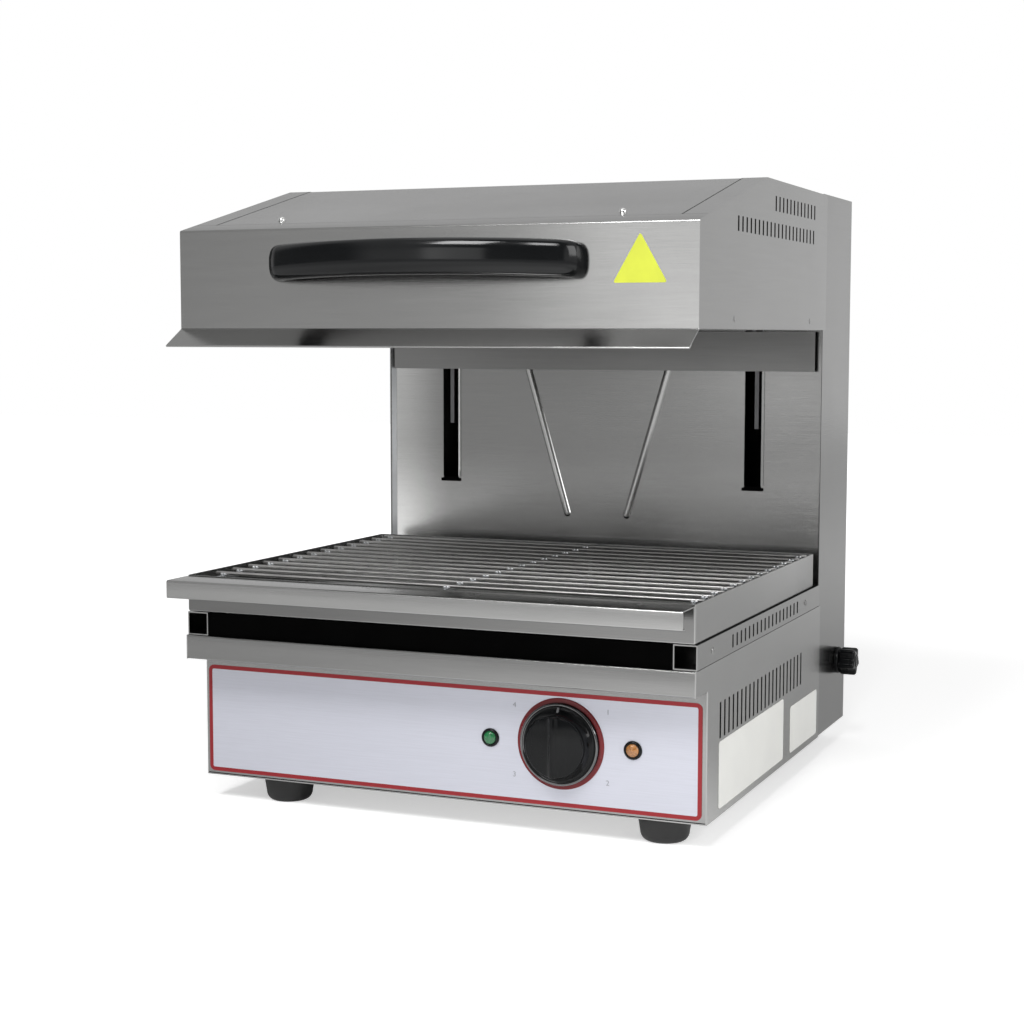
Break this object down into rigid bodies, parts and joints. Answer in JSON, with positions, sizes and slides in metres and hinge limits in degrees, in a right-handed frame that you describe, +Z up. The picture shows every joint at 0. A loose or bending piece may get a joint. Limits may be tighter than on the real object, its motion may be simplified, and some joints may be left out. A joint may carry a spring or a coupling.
{
  "type": "cheese melter",
  "caption": "Electric cheese melter: a heated hood rides up and down a column on a counterbalanced lift over a sliding grill pan with a wire grid.",
  "frame": {"origin": "on the worktop at the level of the feet's soles, in the middle of the casing's width and of its depth from the control panel to the rear cover", "axes": "+X to the right seen from the front, +Y to the back, +Z up"},
  "size_m": [0.4706, 0.5583, 0.53],
  "materials": {
    "stainless_steel": "fine horizontal grain, satin",
    "zinc_plated_steel": "zinc plated",
    "ground_steel": "ground bright",
    "pulley_alloy": "turned",
    "bronze": "sintered",
    "weight_steel": "black paint over steel",
    "front_film": "silver film, red rule",
    "black_plastic": "glossy moulding",
    "red_plastic": "glossy moulding",
    "black_sheet": "gloss black",
    "green_lens": "clear lens",
    "amber_lens": "clear lens",
    "phenolic": "matt moulding",
    "white_nylon": "natural",
    "ceramic_board": "pressed fibre",
    "tube_steel": "heat-darkened sheath",
    "foot_rubber": "matt",
    "belt_rubber": "matt"
  },
  "bodies": {
    "base": {"base_casing": "stainless_steel", "base_deck": "stainless_steel", "control_panel": "stainless_steel", "control_overlay": "front_film", "knob_bezel": "red_plastic", "front_baffle": "black_sheet", "runner_left": "stainless_steel", "runner_right": "stainless_steel", "column_casing": "stainless_steel", "back_panel": "stainless_steel", "slot_bumpers": "phenolic", "rear_cover": "stainless_steel", "casing_screws": "zinc_plated_steel", "cross_rails": "zinc_plated_steel", "guide_rods": "ground_steel", "shaft_brackets": "zinc_plated_steel", "shaft_bushings": "bronze", "lift_belts": "belt_rubber", "lock_boss": "zinc_plated_steel", "energy_regulator": "phenolic", "green_lamp": "green_lens", "amber_lamp": "amber_lens", "lamp_bezels": "black_plastic", "terminal_block": "white_nylon", "cable_gland": "phenolic", "foot_front_left": "foot_rubber", "foot_front_right": "foot_rubber", "foot_rear_left": "foot_rubber", "foot_rear_right": "foot_rubber", "foot_screws": "zinc_plated_steel"},
    "hood": {"hood_front": "stainless_steel", "hood_cover": "stainless_steel", "hood_side_left": "stainless_steel", "hood_side_right": "stainless_steel", "hood_rear": "stainless_steel", "rear_band": "stainless_steel", "hood_handle": "black_plastic", "hood_screws": "zinc_plated_steel", "hood_liner": "stainless_steel", "insulation_board": "ceramic_board", "heating_elements": "tube_steel", "element_hangers": "zinc_plated_steel", "element_terminals": "white_nylon", "carriage": "zinc_plated_steel", "carriage_arms": "zinc_plated_steel", "guide_bushings": "bronze", "belt_clamps": "zinc_plated_steel"},
    "counterweight": {"counterweight": "weight_steel"},
    "upper_shaft": {"upper_shaft": "ground_steel", "upper_pulleys": "pulley_alloy"},
    "lower_shaft": {"lower_shaft": "ground_steel", "lower_pulleys": "pulley_alloy"},
    "lock_knob": {"lock_knob": "black_plastic", "lock_stud": "ground_steel"},
    "heat_knob": {"heat_knob": "black_plastic", "heat_spindle": "ground_steel"},
    "grill_pan": {"grill_pan": "stainless_steel", "pan_lip": "stainless_steel"},
    "wire_grid": {"wire_grid": "ground_steel"}
  },
  "joints": [
    {"name": "hood_lift", "type": "slide", "parent": "base", "child": "hood", "axis": [0, 0, 1], "range_m": [-0.115, 0]},
    {"name": "counterweight_rise", "type": "slide", "parent": "base", "child": "counterweight", "axis": [0, 0, 1], "range_m": [0, 0.115]},
    {"name": "upper_shaft_turn", "type": "hinge", "parent": "base", "child": "upper_shaft", "pos_m": [0, 0.188, 0.4995], "axis": [1, 0, 0], "range_deg": [0, 412]},
    {"name": "lower_shaft_turn", "type": "hinge", "parent": "base", "child": "lower_shaft", "pos_m": [0, 0.188, 0.0965], "axis": [1, 0, 0], "range_deg": [0, 412]},
    {"name": "lock_screw", "type": "hinge", "parent": "base", "child": "lock_knob", "pos_m": [0.215, 0.2, 0.0835], "axis": [1, 0, 0], "range_deg": [-180, 0]},
    {"name": "heat_setting", "type": "hinge", "parent": "base", "child": "heat_knob", "pos_m": [0.1035, -0.232, 0.076], "axis": [0, 1, 0], "range_deg": [0, 270]},
    {"name": "pan_slide", "type": "slide", "parent": "base", "child": "grill_pan", "axis": [0, -1, 0], "range_m": [0, 0.28]},
    {"name": "grid_lift", "type": "slide", "parent": "grill_pan", "child": "wire_grid", "axis": [0, 0, 1], "range_m": [0, 0.04]}
  ],
  "couplings": [
    {"joint": "counterweight_rise", "follows": "hood_lift", "ratio": -1},
    {"joint": "upper_shaft_turn", "follows": "hood_lift", "rad_per_m": -62.5},
    {"joint": "lower_shaft_turn", "follows": "hood_lift", "rad_per_m": -62.5}
  ]
}
